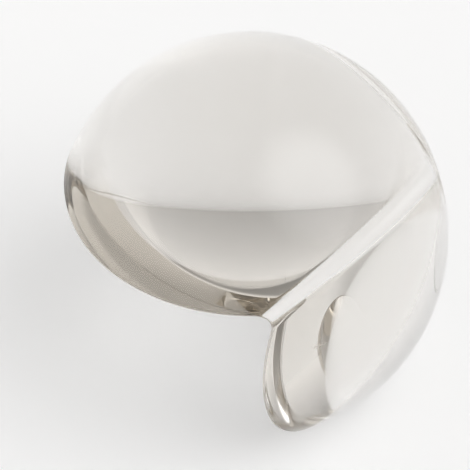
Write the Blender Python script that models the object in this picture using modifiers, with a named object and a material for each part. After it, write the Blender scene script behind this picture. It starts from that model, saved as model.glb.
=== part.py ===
"""Ball-shaped corner protector for a table top, in clear soft plastic, moulded in one solid piece.

The part is a ball with a square notch cut out of it. The notch has three flat faces, which sit on the
top and on two side faces of a piece of furniture. The origin is the inner corner of the notch, where
the furniture's own corner point comes to lie. From there the furniture fills -X, +Y and -Z. The dome
stands on its top, one skirt hangs in front of it, at -Y, and the other beside it, at +X.
Lengths are in metres and +Z is up.
"""
import bpy

# The ball
BALL_WIDTH = 0.040
BALL_HEIGHT = 0.042

# How far the ball's centre lies behind the two side faces and below the top face
SIDE_SETBACK = 0.0128
TOP_SETBACK = 0.0078

# Rounding in the inner edges and inner corner of the notch, which fit a table's eased edges
NOTCH_EDGE_RADIUS = 0.0015

# How finely the round surfaces are cut up
BALL_SEGMENTS = 72
BALL_RINGS = 36
NOTCH_EDGE_STEPS = 5

# How far the block that cuts the notch reaches past the ball
CUTTER_OVERRUN = 0.005

PLASTIC_COLOUR = (0.93, 0.93, 0.92, 1.0)
PLASTIC_ROUGHNESS = 0.08
PLASTIC_METALLIC = 0.0
PLASTIC_TRANSMISSION = 1.0
PLASTIC_IOR = 1.53


def clear_scene():
    """Removes every object, so that the script can be run again."""
    for item in list(bpy.data.objects):
        bpy.data.objects.remove(item, do_unlink=True)


def make_collection(name):
    """Makes a collection in the scene."""
    collection = bpy.data.collections.new(name)
    bpy.context.scene.collection.children.link(collection)
    return collection


def name_and_place(item, name, collection):
    """Names an object and its mesh, and moves it into a collection."""
    item.name = name
    item.data.name = name
    for owner in list(item.users_collection):
        owner.objects.unlink(item)
    collection.objects.link(item)


def apply_scale(item):
    """Works an object's scale into its mesh."""
    item.select_set(True)
    bpy.context.view_layer.objects.active = item
    bpy.ops.object.transform_apply(location=False, rotation=False, scale=True)


def clear_plastic():
    """Colourless, glossy soft plastic that light passes through."""
    material = bpy.data.materials.new("clear_soft_plastic")
    material.use_nodes = True
    shader = material.node_tree.nodes["Principled BSDF"]
    shader.inputs["Base Color"].default_value = PLASTIC_COLOUR
    shader.inputs["Roughness"].default_value = PLASTIC_ROUGHNESS
    shader.inputs["Metallic"].default_value = PLASTIC_METALLIC
    shader.inputs["Transmission Weight"].default_value = PLASTIC_TRANSMISSION
    shader.inputs["IOR"].default_value = PLASTIC_IOR
    return material


def make_ball(collection):
    """The whole ball, a little taller than wide, with its centre set back from the three faces."""
    bpy.ops.mesh.primitive_uv_sphere_add(
        segments=BALL_SEGMENTS,
        ring_count=BALL_RINGS,
        radius=BALL_WIDTH / 2,
        location=(-SIDE_SETBACK, SIDE_SETBACK, -TOP_SETBACK),
    )
    ball = bpy.context.object
    ball.scale.z = BALL_HEIGHT / BALL_WIDTH
    apply_scale(ball)
    name_and_place(ball, "protector_body", collection)
    return ball


def make_notch_block(collection):
    """The space that the furniture takes up: a block with one corner at the origin, which cuts the notch."""
    reach = SIDE_SETBACK + BALL_WIDTH / 2 + CUTTER_OVERRUN
    depth = TOP_SETBACK + BALL_HEIGHT / 2 + CUTTER_OVERRUN
    bpy.ops.mesh.primitive_cube_add(size=1.0, location=(-reach / 2, reach / 2, -depth / 2))
    block = bpy.context.object
    block.scale = (reach, reach, depth)
    apply_scale(block)
    rounding = block.modifiers.new("notch_edges", "BEVEL")
    rounding.width = NOTCH_EDGE_RADIUS
    rounding.segments = NOTCH_EDGE_STEPS
    block.display_type = "WIRE"
    block.hide_render = True
    name_and_place(block, "notch_block", collection)
    return block


def cut_notch(ball, block):
    """Cuts the furniture's corner out of the ball, which leaves the three seating faces."""
    cut = ball.modifiers.new("corner_notch", "BOOLEAN")
    cut.operation = "DIFFERENCE"
    cut.solver = "EXACT"
    cut.object = block


def main():
    """Builds the protector."""
    clear_scene()
    parts = make_collection("corner_protector")
    cutters = make_collection("cutters")
    body = make_ball(parts)
    body.data.materials.append(clear_plastic())
    body.data.shade_smooth()
    cut_notch(body, make_notch_block(cutters))


main()
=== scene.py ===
"""Finishes the clear corner protector: its moulded body, the clear plastic and a pale studio to see it in.

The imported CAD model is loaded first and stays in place. The body made here stands for the CAD ball, with
the same sizes, and has the finely rounded lips that the real moulding has.
"""

import bpy
import numpy as np
from bpy.props import FloatProperty, FloatVectorProperty, IntProperty, PointerProperty
from bpy.types import Operator, Panel, PropertyGroup
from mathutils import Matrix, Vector


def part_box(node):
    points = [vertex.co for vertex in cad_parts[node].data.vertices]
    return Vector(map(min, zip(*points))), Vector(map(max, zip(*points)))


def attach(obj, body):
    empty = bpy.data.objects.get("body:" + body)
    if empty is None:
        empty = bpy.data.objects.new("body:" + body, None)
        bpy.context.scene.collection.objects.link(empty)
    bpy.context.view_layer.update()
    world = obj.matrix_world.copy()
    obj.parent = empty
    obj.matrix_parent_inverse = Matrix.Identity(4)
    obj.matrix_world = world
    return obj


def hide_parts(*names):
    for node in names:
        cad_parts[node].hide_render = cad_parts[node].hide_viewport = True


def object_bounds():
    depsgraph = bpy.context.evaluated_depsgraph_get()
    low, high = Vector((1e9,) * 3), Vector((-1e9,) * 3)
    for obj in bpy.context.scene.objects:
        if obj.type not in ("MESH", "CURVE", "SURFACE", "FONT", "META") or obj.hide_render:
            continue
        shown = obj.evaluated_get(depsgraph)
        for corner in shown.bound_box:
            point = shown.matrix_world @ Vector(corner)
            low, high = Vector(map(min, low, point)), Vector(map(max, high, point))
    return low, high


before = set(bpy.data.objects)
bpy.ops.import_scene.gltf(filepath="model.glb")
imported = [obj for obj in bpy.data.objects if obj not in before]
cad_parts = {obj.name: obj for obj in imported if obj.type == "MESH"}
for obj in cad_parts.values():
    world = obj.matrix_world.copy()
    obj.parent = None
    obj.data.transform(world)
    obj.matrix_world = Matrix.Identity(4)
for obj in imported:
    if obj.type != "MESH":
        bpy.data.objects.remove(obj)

bl_info = {
    "name": "Clear corner protector",
    "version": (1, 0, 0),
    "blender": (4, 5, 0),
    "location": "3D View > Sidebar > Corner protector",
    "description": "Builds a ball-shaped corner protector in clear plastic, and a pale studio around it",
    "category": "Add Mesh",
}

CAD_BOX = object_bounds()
CAD_NODE = "protector_body"
BODY = "root"

# The largest gap allowed between the box of the finished body and the box of the CAD ball
BOX_TOLERANCE = 0.0003

# Waves in the moulded surface, and their share on the flat faces
RIPPLE_SEED = 11
RIPPLE_COUNT = 9
SEAT_RIPPLE = 0.5

# Columns crowd towards the ends of the lips, and rows towards the lips
COLUMN_EASE = 0.55
ROW_EASE = 1.5

# The small step from which slopes are worked out, how many Newton steps are taken, and the least square of a
# slope that a step is divided by
SLOPE_REACH = 2e-6
NEWTON_STEPS = 12
LEAST_SQUARE = 0.25

# Heights in the sky where the light from all round changes, as the upward part of the direction
HORIZON_HEIGHT = 0.05
MIDDLE_HEIGHT = 0.5

# How many times light may bounce, so that none is lost inside the clear body
LIGHT_BOUNCES = 32

# The mesh attribute that is 1 on the lips and 0 elsewhere, and the share of the lip radius in which it rises
LIP_ATTRIBUTE = "lip"
LIP_RISE = 0.25

# The three noises in the finish: patches and grains by their number per metre, and streaks across the mark
PATCH_NOISE = {"scale": 140.0, "detail": 3.0, "roughness": 0.55}
GRAIN_NOISE = {"scale": 420.0, "detail": 2.0, "roughness": 0.5}
STREAK_NOISE = {"scale": 1.0, "detail": 4.0, "roughness": 0.6}

# Where in the noise the patches and the streaks start and are at their fullest
PATCH_RANGE = (0.4, 0.7)
STREAK_RANGE = (0.42, 0.58)

# The mark fades in from its edge, at 1, inwards. Its streaks are fine across it and long along it
MARK_RANGE = (1.0, 0.3)
STREAK_STRETCH = (1.2, 4.0, 4.0)

WHITE = (1.0, 1.0, 1.0, 1.0)
FLOOR_SIDES = 96
FLOOR_ROUGHNESS = 0.8

# The camera's sensor in millimetres, and the nearest distance that it shows in metres
SENSOR_WIDTH = 36.0
NEAREST_SHOWN = 0.01


class BallSizes(PropertyGroup):
    """Sizes of the ball and of the square notch in it."""

    ball_width: FloatProperty(
        name="Ball width",
        description="Width of the whole ball, before the notch is cut out of it",
        default=0.040,
        unit="LENGTH",
    )
    ball_height: FloatProperty(
        name="Ball height",
        description="Height of the whole ball, before the notch is cut out of it",
        default=0.042,
        unit="LENGTH",
    )
    side_setback: FloatProperty(
        name="Side setback",
        description="How far the ball's centre lies behind the two side faces",
        default=0.0128,
        unit="LENGTH",
    )
    top_setback: FloatProperty(
        name="Top setback",
        description="How far the ball's centre lies below the top face",
        default=0.0078,
        unit="LENGTH",
    )
    notch_radius: FloatProperty(
        name="Notch edge radius",
        description="Rounding in the inner edges and inner corner of the notch",
        default=0.0015,
        unit="LENGTH",
    )
    lip_radius: FloatProperty(
        name="Lip radius",
        description="Rounding of the lips, where the ball meets the three flat faces",
        default=0.00035,
        unit="LENGTH",
    )
    ripple_depth: FloatProperty(
        name="Ripple depth",
        description="How far the moulded surface waves in and out of its true shape",
        default=0.000006,
        precision=6,
        unit="LENGTH",
    )
    ripple_length: FloatProperty(
        name="Ripple length",
        description="Length of the shortest waves in the moulded surface",
        default=0.007,
        unit="LENGTH",
    )
    columns: IntProperty(
        name="Columns per face",
        description="Columns of the mesh along each of the three lips",
        default=160,
    )
    dome_rows: IntProperty(
        name="Rows on the ball",
        description="Rows of the mesh from the middle of the ball's outside to the lips",
        default=84,
    )
    lip_rows: IntProperty(
        name="Rows on the lip",
        description="Rows of the mesh across the rounding of the lips",
        default=11,
    )
    seat_rows: IntProperty(
        name="Rows in the notch",
        description="Rows of the mesh from the lips to the inner corner of the notch",
        default=60,
    )


class PlasticLook(PropertyGroup):
    """Colour, clearness and surface of the plastic."""

    surface_colour: FloatVectorProperty(
        name="Surface colour",
        description="Share of the light that the surface lets in",
        subtype="COLOR",
        size=3,
        default=(0.995, 0.995, 0.995),
    )
    body_colour: FloatVectorProperty(
        name="Body colour",
        description="Colour that thick plastic takes on",
        subtype="COLOR",
        size=3,
        default=(0.80, 0.77, 0.72),
    )
    body_density: FloatProperty(
        name="Body density",
        description="How quickly the plastic takes on its body colour, per metre",
        default=40.0,
    )
    refraction: FloatProperty(
        name="Refraction",
        description="Index of refraction of the soft plastic",
        default=1.45,
    )
    least_roughness: FloatProperty(
        name="Least roughness",
        description="Roughness of the most polished patches",
        default=0.0,
    )
    most_roughness: FloatProperty(
        name="Most roughness",
        description="Roughness of the most handled patches",
        default=0.02,
    )
    lip_roughness: FloatProperty(
        name="Lip roughness",
        description="Roughness of the narrow matt rounding along the lips",
        default=0.45,
    )
    mark_place: FloatVectorProperty(
        name="Mark place",
        description="Middle of the faint rubbed mark on the front skirt",
        subtype="XYZ",
        unit="LENGTH",
        size=3,
        default=(-0.0236, -0.0036, -0.0038),
    )
    mark_size: FloatVectorProperty(
        name="Mark size",
        description="Half the length, breadth and height of the rubbed mark",
        subtype="XYZ",
        unit="LENGTH",
        size=3,
        default=(0.0019, 0.0008, 0.0007),
    )
    mark_turn: FloatProperty(
        name="Mark turn",
        description="How far the rubbed mark is turned about the upright axis",
        default=-0.49,
        subtype="ANGLE",
    )
    mark_roughness: FloatProperty(
        name="Mark roughness",
        description="Roughness of the rubbed mark",
        default=0.3,
    )
    grain_depth: FloatProperty(
        name="Grain depth",
        description="Depth of the fine unevenness in the polish",
        default=0.0000005,
        precision=8,
        unit="LENGTH",
    )


class StudioSettings(PropertyGroup):
    """The floor, the light and the camera."""

    floor_colour: FloatVectorProperty(
        name="Floor colour",
        description="Colour of the pale floor",
        subtype="COLOR",
        size=3,
        default=(0.90, 0.90, 0.90),
    )
    floor_radius: FloatProperty(
        name="Floor radius",
        description="Radius of the round floor",
        default=3.0,
        unit="LENGTH",
    )
    floor_gap: FloatProperty(
        name="Floor gap",
        description="How far the floor lies under the lowest point of the body",
        default=0.0001,
        unit="LENGTH",
    )
    horizon_light: FloatProperty(
        name="Horizon light",
        description="Brightness of the light from the horizon and below",
        default=1.0,
    )
    middle_light: FloatProperty(
        name="Middle light",
        description="Brightness of the light from halfway up",
        default=0.60,
    )
    overhead_light: FloatProperty(
        name="Overhead light",
        description="Brightness of the light from straight above",
        default=0.14,
    )
    light_warmth: FloatProperty(
        name="Light warmth",
        description="Green light for each unit of red, and blue for each unit of green",
        default=0.99,
    )
    key_direction: FloatVectorProperty(
        name="Key direction",
        description="Direction from the body towards the middle of the main light",
        subtype="XYZ",
        size=3,
        default=(0.16, -0.60, 0.78),
    )
    key_light: FloatProperty(
        name="Key light",
        description="Brightness in the middle of the main light",
        default=2.6,
    )
    key_spread: FloatProperty(
        name="Key spread",
        description="Angle from the middle of the main light to where it has faded out",
        default=0.65,
        subtype="ANGLE",
    )
    floor_lift: FloatProperty(
        name="Floor lift",
        description="Brightness that the floor shows by itself, to the camera and through the plastic",
        default=0.20,
    )
    camera_place: FloatVectorProperty(
        name="Camera place",
        description="Where the camera stands",
        subtype="XYZ",
        unit="LENGTH",
        size=3,
        default=(-0.160831, -0.097394, 0.180945),
    )
    camera_aim: FloatVectorProperty(
        name="Camera aim",
        description="The point in the middle of the camera's picture",
        subtype="XYZ",
        unit="LENGTH",
        size=3,
        default=(-0.013722, 0.014029, -0.007793),
    )
    camera_lens: FloatProperty(
        name="Camera lens",
        description="Focal length of the camera in millimetres, on a sensor 36 mm wide",
        default=200.0,
    )


# The body


def mirrored(points):
    """The same points with Y turned round, which puts the notch where x, y and z are all below zero."""
    return points * np.array([1.0, -1.0, 1.0])


def ball_shape(sizes):
    """Centre and half sizes of the ball, with Y turned round."""
    centre = np.array([-sizes.side_setback, -sizes.side_setback, -sizes.top_setback])
    half = np.array([sizes.ball_width, sizes.ball_width, sizes.ball_height]) / 2
    return centre, half


def ball_distance(points, centre, half):
    """Distance outside the ball, to first order: k (k - 1) / g.

    k is the length of the point's offset from the centre over the half sizes, and g is the length of the
    offset over the half sizes squared.
    """
    offset = points - centre
    k = np.linalg.norm(offset / half, axis=-1)
    g = np.linalg.norm(offset / half**2, axis=-1)
    return k * (k - 1) / g


def notch_distance(points, radius):
    """Distance outside the block that fills the notch: that of one shrunk by the radius, less the radius."""
    past = points + radius
    outside = np.linalg.norm(np.maximum(past, 0), axis=-1)
    inside = np.minimum(past.max(axis=-1), 0)
    return outside + inside - radius


def ripples(points, sizes):
    """Low waves left by the mould: the sum of sin(2 pi (p . d) / w + f), times the ripple depth over sqrt(n).

    Each of the n waves has its own direction d, its own length w from one to two ripple lengths, and its own
    start f.
    """
    random = np.random.default_rng(RIPPLE_SEED)
    waves = 0
    for _ in range(RIPPLE_COUNT):
        direction = random.normal(size=3)
        direction /= np.linalg.norm(direction)
        length = sizes.ripple_length * random.uniform(1, 2)
        start = random.uniform(0, 2 * np.pi)
        waves = waves + np.sin(2 * np.pi * (points @ direction) / length + start)
    return sizes.ripple_depth * waves / np.sqrt(RIPPLE_COUNT)


def body_distance(points, sizes):
    """Distance outside the body, which is the ball less the notch's block, with rounded lips.

    With a and b the distances outside the ball and inside the block, both waved by the ripples, and r the
    lip radius, it is min(-r, max(a, b)) plus the length of (max(a + r, 0), max(b + r, 0)).
    """
    centre, half = ball_shape(sizes)
    wave = ripples(points, sizes)
    a = ball_distance(points, centre, half) - wave
    b = -notch_distance(points, sizes.notch_radius) - SEAT_RIPPLE * wave
    r = sizes.lip_radius
    corner = np.hypot(np.maximum(a + r, 0), np.maximum(b + r, 0))
    return np.minimum(-r, np.maximum(a, b)) + corner


def lip_share(points, sizes):
    """1 on the rounding of the lips and 0 elsewhere.

    It is the smaller of a + r and b + r, as body_distance has them, over the lip rise of r, held between 0
    and 1.
    """
    centre, half = ball_shape(sizes)
    a = ball_distance(points, centre, half)
    b = -notch_distance(points, sizes.notch_radius)
    r = sizes.lip_radius
    return np.clip((np.minimum(a, b) + r) / (LIP_RISE * r), 0, 1)


def slope_of(distance, points):
    """Slope of a distance at each point, from its values a small step ahead and behind on each axis."""
    slope = np.empty_like(points)
    for axis in range(3):
        shift = np.zeros(3)
        shift[axis] = SLOPE_REACH
        slope[..., axis] = (distance(points + shift) - distance(points - shift)) / (2 * SLOPE_REACH)
    return slope


def settle(points, sizes):
    """Moves each point onto the body's surface by Newton steps along the slope of body_distance."""
    for _ in range(NEWTON_STEPS):
        slope = slope_of(lambda place: body_distance(place, sizes), points)
        size = np.maximum((slope**2).sum(axis=-1), LEAST_SQUARE)
        points = points - slope * (body_distance(points, sizes) / size)[..., None]
    return points


def meet(points, sizes, from_ball, from_block):
    """Moves points to set distances from the ball and from the notch's block, by Newton steps.

    With A and B the slopes of the two distances, each step is the shortest that closes both gaps: u A + v B,
    where A.A u + A.B v is the gap to the ball and A.B u + B.B v is the gap to the block.
    """
    centre, half = ball_shape(sizes)
    for _ in range(NEWTON_STEPS):
        a_slope = slope_of(lambda place: ball_distance(place, centre, half), points)
        b_slope = slope_of(lambda place: notch_distance(place, sizes.notch_radius), points)
        a_gap = from_ball - ball_distance(points, centre, half)
        b_gap = from_block - notch_distance(points, sizes.notch_radius)
        aa = (a_slope**2).sum(axis=-1)
        bb = (b_slope**2).sum(axis=-1)
        ab = (a_slope * b_slope).sum(axis=-1)
        whole = aa * bb - ab**2
        u = (bb * a_gap - ab * b_gap) / whole
        v = (aa * b_gap - ab * a_gap) / whole
        points = points + u[..., None] * a_slope + v[..., None] * b_slope
    return points


def crowded(count, ease):
    """Numbers from 0 up to 1, closer together near both ends: t - ease sin(2 pi t) / (2 pi)."""
    t = np.arange(count) / count
    return t - ease * np.sin(2 * np.pi * t) / (2 * np.pi)


def graded(count):
    """Numbers from 0 up to 1, closer together near 1: 1 less the row ease's power of (1 - s)."""
    s = np.arange(count) / count
    return 1 - (1 - s) ** ROW_EASE


def lip_line(sizes):
    """The closed line of the three sharp lips, as points on a ball of radius 1 around its own centre.

    Each flat face cuts that ball in a circle. On the face with normal n at distance d, the circle's radius
    is sqrt(1 - d d), and the lip runs on it between the two points where the other faces cut it.
    """
    centre, half = ball_shape(sizes)
    planes = -centre / half
    share = crowded(sizes.columns, COLUMN_EASE)
    arcs = []
    for normal, first, second in ((2, 1, 0), (0, 2, 1), (1, 0, 2)):
        radius = np.sqrt(1 - planes[normal] ** 2)
        start = np.pi - np.arcsin(planes[first] / radius)
        end = 2 * np.pi - np.arccos(planes[second] / radius)
        turn = start + (end - start) * share
        arc = np.empty((sizes.columns, 3))
        arc[:, normal] = planes[normal]
        arc[:, second] = radius * np.cos(turn)
        arc[:, first] = radius * np.sin(turn)
        arcs.append(arc)
    return np.concatenate(arcs)


def rounding_rows(sizes, lips):
    """Rows of points across the rounding of the lips, from the ball to the flat faces.

    With r the lip radius and q from 0 to a quarter turn, the points lie r (1 - cos q) inside the ball and
    r (1 - sin q) outside the notch's block, which is where body_distance is 0 but for the ripples.
    """
    centre, half = ball_shape(sizes)
    turn = np.linspace(0, np.pi / 2, sizes.lip_rows)[:, None]
    start = np.broadcast_to(lips * half + centre, (sizes.lip_rows, *lips.shape))
    return meet(start, sizes, sizes.lip_radius * (np.cos(turn) - 1), sizes.lip_radius * (1 - np.sin(turn)))


def outside_rows(sizes, edge):
    """Rows of points on the ball, from its pole beyond the inner corner to the edge of the rounding.

    On the ball of radius 1 each column is the great circle from the pole p to its edge point l, which is
    (sin((1 - t) w) p + sin(t w) l) / sin(w), where w is the angle between them.
    """
    centre, half = ball_shape(sizes)
    ends = (edge - centre) / half
    ends = ends / np.linalg.norm(ends, axis=-1, keepdims=True)
    pole = -centre / half
    pole = pole / np.linalg.norm(pole)
    angle = np.arccos(ends @ pole)
    t = graded(sizes.dome_rows)[:, None]
    whole = np.sin(angle)
    p_part = np.sin((1 - t) * angle) / whole
    l_part = np.sin(t * angle) / whole
    points = p_part[..., None] * pole + l_part[..., None] * ends
    return points * half + centre


def seat_rows(sizes, edge):
    """Rows of points on the flat faces, from the edge of the rounding to the inner corner.

    With r the notch radius, a point q on the straight line between them goes to the rounded faces as
    c + r (q - c) / |q - c|, where c is q held at least r inside the notch's block.
    """
    t = graded(sizes.seat_rows)[::-1, None, None]
    straight = t * edge
    core = np.minimum(straight, -sizes.notch_radius)
    out = straight - core
    return core + sizes.notch_radius * out / np.linalg.norm(out, axis=-1, keepdims=True)


def body_points(sizes):
    """All rows of the body from its outer pole to the inner corner, each row once around."""
    rounding = rounding_rows(sizes, lip_line(sizes))
    rows = np.concatenate([outside_rows(sizes, rounding[0]), rounding, seat_rows(sizes, rounding[-1])])
    return mirrored(settle(rows, sizes))


def grid_faces(rows, columns):
    """Faces of a grid that closes on itself sideways and ends in a single point at both ends.

    Points are numbered row by row, with the two end points last.
    """
    row = np.arange(rows - 1)[:, None] * columns
    column = np.arange(columns)[None, :]
    beside = (column + 1) % columns
    quads = np.stack([row + column, row + beside, row + columns + beside, row + columns + column], axis=-1)
    first = rows * columns
    last = first + 1
    foot = (rows - 1) * columns
    cap = np.stack([np.full(columns, first), beside[0], column[0]], axis=-1)
    tail = np.stack([foot + column[0], foot + beside[0], np.full(columns, last)], axis=-1)
    return quads.reshape(-1, 4), np.concatenate([cap, tail])


def volume_of(points, triangles):
    """Volume shut in by the triangles, a sixth of the sum of a . (b x c)."""
    a, b, c = (points[triangles[:, i]] for i in range(3))
    return (a * np.cross(b, c)).sum() / 6


def closed_mesh(name, grid, sizes):
    """A smooth mesh from rows of points, whose first and last rows are each a single point.

    It keeps lip_share of each point as the attribute lip.
    """
    rows = grid[1:-1]
    quads, ends = grid_faces(rows.shape[0], rows.shape[1])
    points = np.concatenate([rows.reshape(-1, 3), grid[:1].mean(axis=1), grid[-1:].mean(axis=1)])
    triangles = np.concatenate([quads[:, [0, 1, 2]], quads[:, [0, 2, 3]], ends])
    if volume_of(points, triangles) < 0:
        quads = quads[:, ::-1]
        ends = ends[:, ::-1]
    mesh = bpy.data.meshes.new(name)
    mesh.from_pydata(points.tolist(), [], quads.tolist() + ends.tolist())
    mesh.polygons.foreach_set("use_smooth", [True] * len(mesh.polygons))
    lip = mesh.attributes.new(LIP_ATTRIBUTE, "FLOAT", "POINT")
    lip.data.foreach_set("value", lip_share(mirrored(points), sizes))
    if mesh.validate():
        raise RuntimeError(f"{name} has faulty faces")
    mesh.update()
    return mesh


# The plastic


def node(tree, kind, **values):
    """Adds a node, and sets its properties and the inputs that are named."""
    made = tree.nodes.new(kind)
    for name, value in values.items():
        if hasattr(made, name):
            setattr(made, name, value)
        else:
            made.inputs[name.replace("_", " ").title()].default_value = value
    return made


def combined(tree, operation, first, second):
    """The result of a Math node between two sockets, or between a socket and a number."""
    made = node(tree, "ShaderNodeMath", operation=operation)
    tree.links.new(first, made.inputs[0])
    if isinstance(second, float):
        made.inputs[1].default_value = second
    else:
        tree.links.new(second, made.inputs[1])
    return made.outputs[0]


def patchy_polish(tree, place, look):
    """Roughness that runs from the least to the most, in soft patches a few millimetres wide."""
    patches = node(tree, "ShaderNodeTexNoise", **PATCH_NOISE)
    tree.links.new(place, patches.inputs["Vector"])
    polish = node(
        tree,
        "ShaderNodeMapRange",
        from_min=PATCH_RANGE[0],
        from_max=PATCH_RANGE[1],
        to_min=look.least_roughness,
        to_max=look.most_roughness,
    )
    tree.links.new(patches.outputs["Fac"], polish.inputs["Value"])
    return polish.outputs["Result"]


def matt_lips(tree, look):
    """Roughness on the narrow rounding along the lips, and none elsewhere."""
    lip = node(tree, "ShaderNodeAttribute", attribute_name=LIP_ATTRIBUTE)
    return combined(tree, "MULTIPLY", lip.outputs["Fac"], look.lip_roughness)


def rubbed_mark(tree, place, look):
    """Roughness in one faint rubbed mark: streaks of noise in an ellipsoid, which fade out to its edge."""
    frame_of_mark = node(tree, "ShaderNodeMapping", vector_type="TEXTURE")
    frame_of_mark.inputs["Location"].default_value = look.mark_place
    frame_of_mark.inputs["Rotation"].default_value = (0.0, 0.0, look.mark_turn)
    frame_of_mark.inputs["Scale"].default_value = look.mark_size
    tree.links.new(place, frame_of_mark.inputs["Vector"])
    inside = node(tree, "ShaderNodeVectorMath", operation="LENGTH")
    tree.links.new(frame_of_mark.outputs[0], inside.inputs[0])
    fade = node(tree, "ShaderNodeMapRange", from_min=MARK_RANGE[0], from_max=MARK_RANGE[1])
    tree.links.new(inside.outputs["Value"], fade.inputs["Value"])
    along = node(tree, "ShaderNodeVectorMath", operation="MULTIPLY")
    along.inputs[1].default_value = STREAK_STRETCH
    tree.links.new(frame_of_mark.outputs[0], along.inputs[0])
    streaks = node(tree, "ShaderNodeTexNoise", **STREAK_NOISE)
    tree.links.new(along.outputs[0], streaks.inputs["Vector"])
    broken = node(tree, "ShaderNodeMapRange", from_min=STREAK_RANGE[0], from_max=STREAK_RANGE[1])
    tree.links.new(streaks.outputs["Fac"], broken.inputs["Value"])
    mark = combined(tree, "MULTIPLY", fade.outputs["Result"], broken.outputs["Result"])
    return combined(tree, "MULTIPLY", mark, look.mark_roughness)


def fine_grain(tree, place, look):
    """Normals of the fine unevenness that the mould leaves in the polish."""
    grain = node(tree, "ShaderNodeTexNoise", **GRAIN_NOISE)
    tree.links.new(place, grain.inputs["Vector"])
    bump = node(tree, "ShaderNodeBump", strength=1.0, distance=look.grain_depth)
    tree.links.new(grain.outputs["Fac"], bump.inputs["Height"])
    return bump.outputs["Normal"]


def clear_plastic(look):
    """Colourless clear soft plastic, with a faint warm grey where it is thick, and matt lips."""
    material = bpy.data.materials.new("clear_soft_plastic_finish")
    material.use_nodes = True
    tree = material.node_tree
    shader = tree.nodes["Principled BSDF"]
    shader.inputs["Base Color"].default_value = (*look.surface_colour, 1.0)
    shader.inputs["Transmission Weight"].default_value = 1.0
    shader.inputs["IOR"].default_value = look.refraction
    place = node(tree, "ShaderNodeTexCoord").outputs["Object"]
    skin = combined(tree, "MAXIMUM", patchy_polish(tree, place, look), rubbed_mark(tree, place, look))
    roughness = combined(tree, "MAXIMUM", skin, matt_lips(tree, look))
    tree.links.new(roughness, shader.inputs["Roughness"])
    tree.links.new(fine_grain(tree, place, look), shader.inputs["Normal"])
    body = node(tree, "ShaderNodeVolumeAbsorption", density=look.body_density)
    body.inputs["Color"].default_value = (*look.body_colour, 1.0)
    tree.links.new(body.outputs["Volume"], tree.nodes["Material Output"].inputs["Volume"])
    return material


# The studio


def floor_material(studio):
    """Plain pale floor, a part of whose brightness needs no light.

    That part shows to the camera, in reflections and through the plastic, and lights nothing else.
    """
    material = bpy.data.materials.new("pale_floor")
    material.use_nodes = True
    tree = material.node_tree
    shader = tree.nodes["Principled BSDF"]
    shader.inputs["Base Color"].default_value = (*studio.floor_colour, 1.0)
    shader.inputs["Roughness"].default_value = FLOOR_ROUGHNESS
    shader.inputs["Emission Color"].default_value = WHITE
    path = node(tree, "ShaderNodeLightPath").outputs
    seen_or_mirrored = combined(tree, "MAXIMUM", path["Is Camera Ray"], path["Is Glossy Ray"])
    shown = combined(tree, "MAXIMUM", seen_or_mirrored, path["Is Transmission Ray"])
    tree.links.new(combined(tree, "MULTIPLY", shown, studio.floor_lift), shader.inputs["Emission Strength"])
    return material


def make_floor(studio, height):
    """A round floor: radius (cos t, sin t) at one height, for t all the way round."""
    turn = np.linspace(0, 2 * np.pi, FLOOR_SIDES, endpoint=False)
    rim = np.stack([np.cos(turn), np.sin(turn), np.zeros_like(turn)], axis=-1) * studio.floor_radius
    rim[:, 2] = height
    mesh = bpy.data.meshes.new("floor")
    mesh.from_pydata(rim.tolist(), [], [list(range(FLOOR_SIDES))])
    mesh.materials.append(floor_material(studio))
    floor = bpy.data.objects.new("floor", mesh)
    bpy.context.scene.collection.objects.link(floor)


def light_from_all_round(tree, direction, studio):
    """Light that is bright at the horizon and dark overhead, by the upward part of the direction."""
    parts = node(tree, "ShaderNodeSeparateXYZ")
    tree.links.new(direction, parts.inputs[0])
    ramp = node(tree, "ShaderNodeValToRGB")
    stops = ramp.color_ramp.elements
    stops.new(MIDDLE_HEIGHT)
    levels = (studio.horizon_light, studio.middle_light, studio.overhead_light)
    for stop, height, level in zip(stops, (HORIZON_HEIGHT, MIDDLE_HEIGHT, 1.0), levels):
        stop.position = height
        stop.color = (level, level * studio.light_warmth, level * studio.light_warmth**2, 1.0)
    tree.links.new(parts.outputs["Z"], ramp.inputs["Fac"])
    return ramp.outputs["Color"]


def soft_key(tree, direction, studio):
    """One wide light on one side, with no edge: a smooth step of d . k from the cosine of its spread to 1.

    d is the direction, and k is the direction of the middle of the light.
    """
    towards = node(tree, "ShaderNodeVectorMath", operation="DOT_PRODUCT")
    towards.inputs[1].default_value = Vector(studio.key_direction).normalized()
    tree.links.new(direction, towards.inputs[0])
    glow = node(
        tree,
        "ShaderNodeMapRange",
        interpolation_type="SMOOTHSTEP",
        from_min=np.cos(studio.key_spread),
        from_max=1.0,
        to_max=studio.key_light,
    )
    tree.links.new(towards.outputs["Value"], glow.inputs["Value"])
    return glow.outputs["Result"]


def light_world(studio):
    """All the light of the studio: the light from all round and the soft key."""
    world = bpy.data.worlds.new("studio_light")
    world.use_nodes = True
    tree = world.node_tree
    direction = node(tree, "ShaderNodeTexCoord").outputs["Generated"]
    light = node(tree, "ShaderNodeVectorMath", operation="ADD")
    tree.links.new(light_from_all_round(tree, direction, studio), light.inputs[0])
    tree.links.new(soft_key(tree, direction, studio), light.inputs[1])
    tree.links.new(light.outputs["Vector"], tree.nodes["Background"].inputs["Color"])
    bpy.context.scene.world = world


def add_camera(studio):
    """The camera, which looks down at the dome and the front skirt."""
    camera = bpy.data.cameras.new("corner_view")
    camera.lens = studio.camera_lens
    camera.sensor_width = SENSOR_WIDTH
    camera.clip_start = NEAREST_SHOWN
    view = bpy.data.objects.new("corner_view", camera)
    view.location = studio.camera_place
    direction = Vector(studio.camera_aim) - Vector(studio.camera_place)
    view.rotation_euler = direction.to_track_quat("-Z", "Y").to_euler()
    bpy.context.scene.collection.objects.link(view)
    bpy.context.scene.camera = view


# Operators, panel and settings


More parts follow.
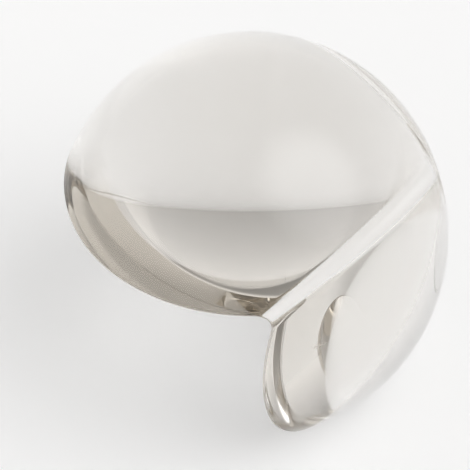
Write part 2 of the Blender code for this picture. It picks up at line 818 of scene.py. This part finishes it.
class MESH_OT_clear_guard(Operator):
    """Builds the clear body of the corner protector"""

    bl_idname = "mesh.clear_corner_guard"
    bl_label = "Clear body"
    bl_options = {"REGISTER", "UNDO"}

    def execute(self, context):
        sizes = context.scene.guard_sizes
        mesh = closed_mesh("clear_body", body_points(sizes), sizes)
        body = bpy.data.objects.new("clear_body", mesh)
        context.scene.collection.objects.link(body)
        mesh.materials.append(clear_plastic(context.scene.guard_plastic))
        corners = np.empty(len(mesh.vertices) * 3)
        mesh.vertices.foreach_get("co", corners)
        corners = corners.reshape(-1, 3)
        box = np.array([corners.min(axis=0), corners.max(axis=0)])
        if np.abs(box - np.array(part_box(CAD_NODE))).max() > BOX_TOLERANCE:
            raise RuntimeError(f"the body's box is {box.tolist()}, and the CAD node's is {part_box(CAD_NODE)}")
        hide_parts(CAD_NODE)
        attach(body, BODY)
        return {"FINISHED"}


class SCENE_OT_pale_studio(Operator):
    """Sets up the pale floor, the soft light and the camera"""

    bl_idname = "scene.corner_guard_studio"
    bl_label = "Pale studio"
    bl_options = {"REGISTER", "UNDO"}

    def execute(self, context):
        studio = context.scene.guard_studio
        make_floor(studio, float(CAD_BOX[0][2]) - studio.floor_gap)
        light_world(studio)
        add_camera(studio)
        context.scene.view_settings.view_transform = "Standard"
        for limit in ("max_bounces", "glossy_bounces", "transmission_bounces"):
            setattr(context.scene.cycles, limit, LIGHT_BOUNCES)
        return {"FINISHED"}


class VIEW3D_PT_corner_guard(Panel):
    """Lists the steps and the settings of the corner protector"""

    bl_label = "Clear corner protector"
    bl_idname = "VIEW3D_PT_corner_guard"
    bl_space_type = "VIEW_3D"
    bl_region_type = "UI"
    bl_category = "Corner protector"

    def draw(self, context):
        column = self.layout.column()
        for group in ("guard_sizes", "guard_plastic", "guard_studio"):
            settings = getattr(context.scene, group)
            box = column.box()
            for name in type(settings).__annotations__:
                box.prop(settings, name)
        column.operator(MESH_OT_clear_guard.bl_idname)
        column.operator(SCENE_OT_pale_studio.bl_idname)


CLASSES = (
    BallSizes,
    PlasticLook,
    StudioSettings,
    MESH_OT_clear_guard,
    SCENE_OT_pale_studio,
    VIEW3D_PT_corner_guard,
)


def register():
    """Adds the classes and puts the settings on the scene."""
    for cls in CLASSES:
        bpy.utils.register_class(cls)
    bpy.types.Scene.guard_sizes = PointerProperty(type=BallSizes)
    bpy.types.Scene.guard_plastic = PointerProperty(type=PlasticLook)
    bpy.types.Scene.guard_studio = PointerProperty(type=StudioSettings)


def unregister():
    """Takes the settings and the classes away again."""
    del bpy.types.Scene.guard_studio
    del bpy.types.Scene.guard_plastic
    del bpy.types.Scene.guard_sizes
    for cls in reversed(CLASSES):
        bpy.utils.unregister_class(cls)


def main():
    """Builds everything."""
    register()
    bpy.ops.mesh.clear_corner_guard()
    bpy.ops.scene.corner_guard_studio()


if __name__ == "__main__":
    main()
